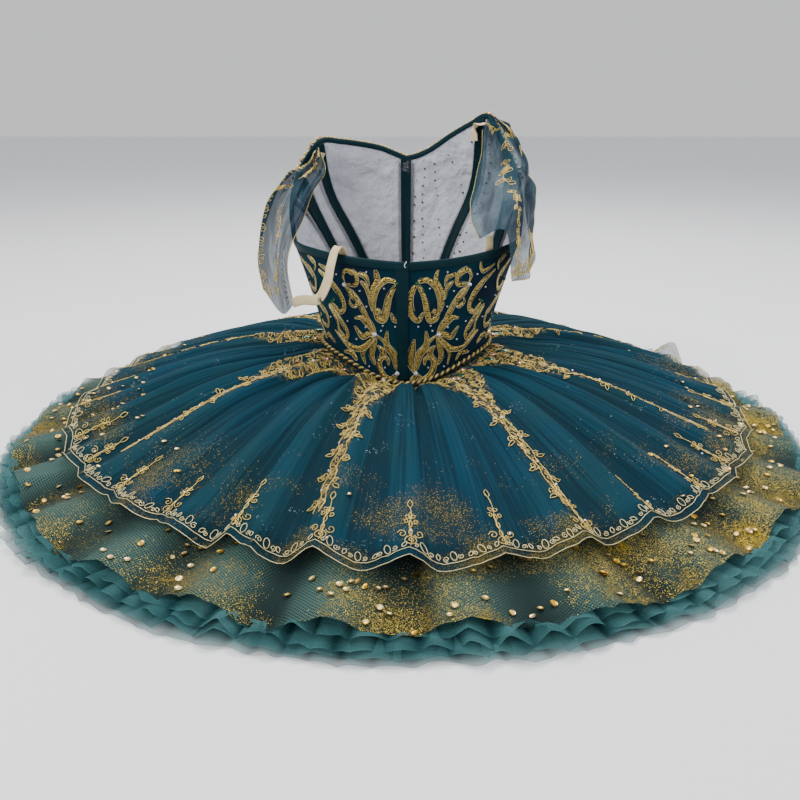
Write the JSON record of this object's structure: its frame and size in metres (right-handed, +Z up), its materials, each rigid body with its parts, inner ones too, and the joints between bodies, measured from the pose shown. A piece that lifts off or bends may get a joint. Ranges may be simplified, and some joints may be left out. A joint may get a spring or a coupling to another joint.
{
  "type": "ballet tutu",
  "caption": "Flat, wide ballet tutu standing by itself: a boned bodice, low at the back, over a gathered top plate, a gilded plate, net frills and a brief.",
  "frame": {"origin": "centre of the garment's box at its base, on the surface that it stands on", "axes": "+Z up, +Y towards the wearer's front, +X towards the wearer's right as the back is looked at"},
  "size_m": [1.012, 1.012, 0.4003],
  "materials": {
    "bodice_cloth": "dark teal velvet with gold embroidery",
    "lining_cloth": "plain matte pale lining",
    "tape": "dark teal satin tape",
    "gold_trim": "metallic gold cord and beads",
    "top_net": "fine deep teal net with gold lace",
    "gilded_net": "teal net with gold foil and cup sequins",
    "pale_net": "sheer teal net",
    "brief_knit": "plain teal knit",
    "organza": "sheer organza with gold lace",
    "elastic": "cream woven elastic"
  },
  "bodies": {
    "root": {"bodice_front": "bodice_cloth", "bodice_back_right": "bodice_cloth", "bodice_back_left": "bodice_cloth", "lining_front": "lining_cloth", "bone_channel_1": "tape", "bone_channel_2": "tape", "bone_channel_3": "tape", "bone_channel_4": "tape", "bone_channel_5": "tape", "placket": "tape", "binding_front": "tape", "binding_back_right": "tape", "binding_back_left": "tape", "neck_trim": "gold_trim", "waist_rope": "gold_trim", "plate_top": "top_net", "plate_gold": "gilded_net", "net_upper": "pale_net", "net_lower": "pale_net", "brief": "brief_knit", "sleeve_right": "organza", "sleeve_left": "organza", "elastic_left_front": "elastic", "elastic_left_back": "elastic", "elastic_right_front": "elastic", "elastic_right_back": "elastic"}
  },
  "joints": []
}
